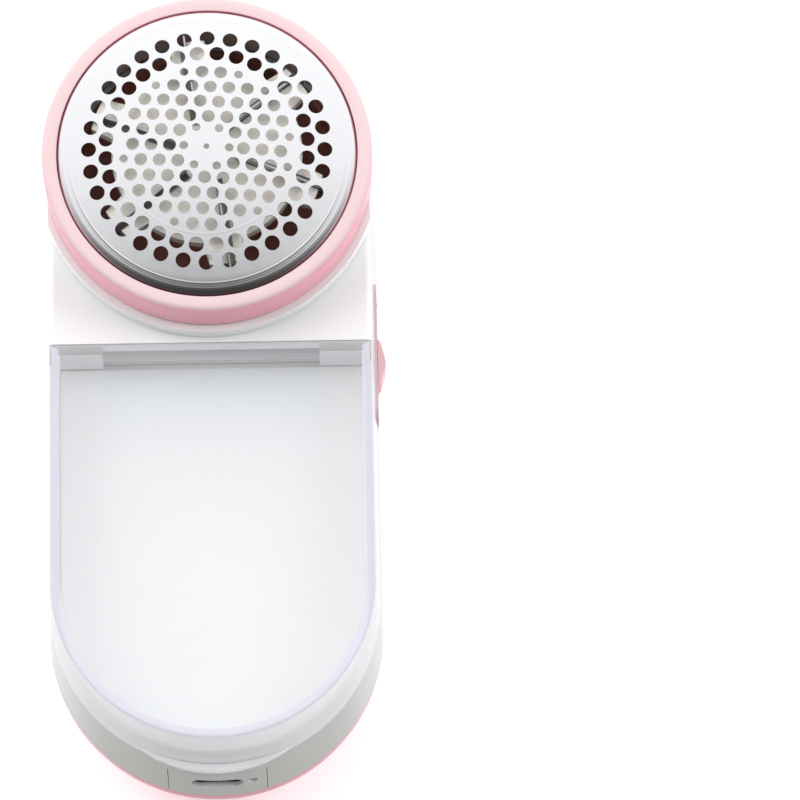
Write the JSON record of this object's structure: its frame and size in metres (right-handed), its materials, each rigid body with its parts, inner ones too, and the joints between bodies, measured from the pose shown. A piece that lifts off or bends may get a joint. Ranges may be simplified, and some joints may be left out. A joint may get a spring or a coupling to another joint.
{
  "type": "fabric shaver",
  "caption": "Hand-held rechargeable fabric shaver with a perforated foil, a rotary cutter, a clear lint box and a slide switch.",
  "frame": {"origin": "centre of the flat back, halfway along the whole shaver, on the surface it lies on", "axes": "+X to the side with the slide switch, +Y from the tail to the cutting head, +Z from the flat back to the foil"},
  "size_m": [0.0609, 0.1366, 0.0578],
  "materials": {
    "white_plastic": "gloss",
    "pink_plastic": "semi-gloss",
    "clear_plastic": "clear, slightly frosted",
    "cream_plastic": "satin",
    "dark_plastic": "matte",
    "foil_steel": "satin with a bright rim",
    "blade_steel": "ground",
    "plain_steel": "plain",
    "plated_steel": "nickel plated",
    "nylon": "natural nylon",
    "brass": "plain",
    "ferrite": "sintered",
    "black_rubber": "matte",
    "felt": "felt",
    "paper": "card",
    "cell_sleeve": "heat-shrunk sleeve over a metal can",
    "board_green": "solder mask",
    "chip_black": "matte",
    "chip_tan": "ceramic",
    "lamp_clear": "diffuse clear",
    "red_sheath": "vinyl",
    "black_sheath": "vinyl",
    "yellow_sheath": "vinyl"
  },
  "bodies": {
    "body": {"front_housing": "white_plastic", "back_housing": "pink_plastic", "housing_screws": "plain_steel", "ring_seal": "black_rubber", "motor_magnets": "ferrite", "motor_can": "plated_steel", "motor_end_cap": "chip_black", "motor_terminal_left": "brass", "motor_terminal_right": "brass", "motor_screws": "plain_steel", "shaft_seal": "felt", "chamber_liner": "dark_plastic", "switch_plate": "pink_plastic", "switch_body": "chip_black", "switch_terminals": "brass", "switch_bracket": "plated_steel", "switch_screws": "plain_steel", "port_panel": "white_plastic", "usb_shell": "plated_steel", "usb_tongue": "chip_black", "circuit_board": "board_green", "board_screws": "plain_steel", "charge_chip": "chip_black", "board_capacitors": "chip_tan", "charge_led": "lamp_clear", "light_pipe": "lamp_clear", "battery_cell": "cell_sleeve", "battery_washer": "paper", "battery_tab_plus": "plated_steel", "battery_tab_minus": "plated_steel", "battery_lead_black": "black_sheath", "battery_lead_red": "red_sheath", "switch_lead": "yellow_sheath", "motor_lead_red": "red_sheath", "motor_lead_black": "black_sheath"},
    "foil": {"foil_plate": "foil_steel"},
    "ring": {"head_ring": "pink_plastic", "foil_carrier": "white_plastic"},
    "drive": {"motor_shaft": "plain_steel", "motor_rotor": "plain_steel", "motor_commutator": "brass", "drive_hub": "nylon", "carrier_spring": "plain_steel"},
    "cutter": {"cutter_carrier": "cream_plastic", "cutter_blade_1": "blade_steel", "cutter_blade_2": "blade_steel", "cutter_blade_3": "blade_steel", "cutter_blade_4": "blade_steel", "cutter_blade_5": "blade_steel", "cutter_blade_6": "blade_steel"},
    "box": {"lint_box": "clear_plastic"},
    "slider": {"switch_slider": "pink_plastic", "switch_lever": "chip_black"}
  },
  "joints": [
    {"name": "ring_lift", "type": "slide", "parent": "body", "child": "foil", "axis": [0, 0, 1], "range_m": [0, 0.006]},
    {"name": "ring_turn", "type": "hinge", "parent": "foil", "child": "ring", "pos_m": [0, 0.0385, 0], "axis": [0, 0, 1], "range_deg": [0, 60]},
    {"name": "cutter_spin", "type": "hinge", "parent": "body", "child": "drive", "pos_m": [0, 0.0385, 0], "axis": [0, 0, 1], "continuous": true},
    {"name": "cutter_float", "type": "slide", "parent": "drive", "child": "cutter", "axis": [0, 0, -1], "range_m": [0, 0.0012], "stiffness_N_per_m": 400, "springref_m": -0.002, "deforming": ["carrier_spring"]},
    {"name": "box_slide", "type": "slide", "parent": "body", "child": "box", "axis": [0, -1, 0], "range_m": [0, 0.075]},
    {"name": "switch_slide", "type": "slide", "parent": "body", "child": "slider", "axis": [0, 1, 0], "range_m": [0, 0.004]}
  ],
  "couplings": [
    {"joint": "ring_turn", "follows": "ring_lift", "rad_per_m": 174.53}
  ]
}
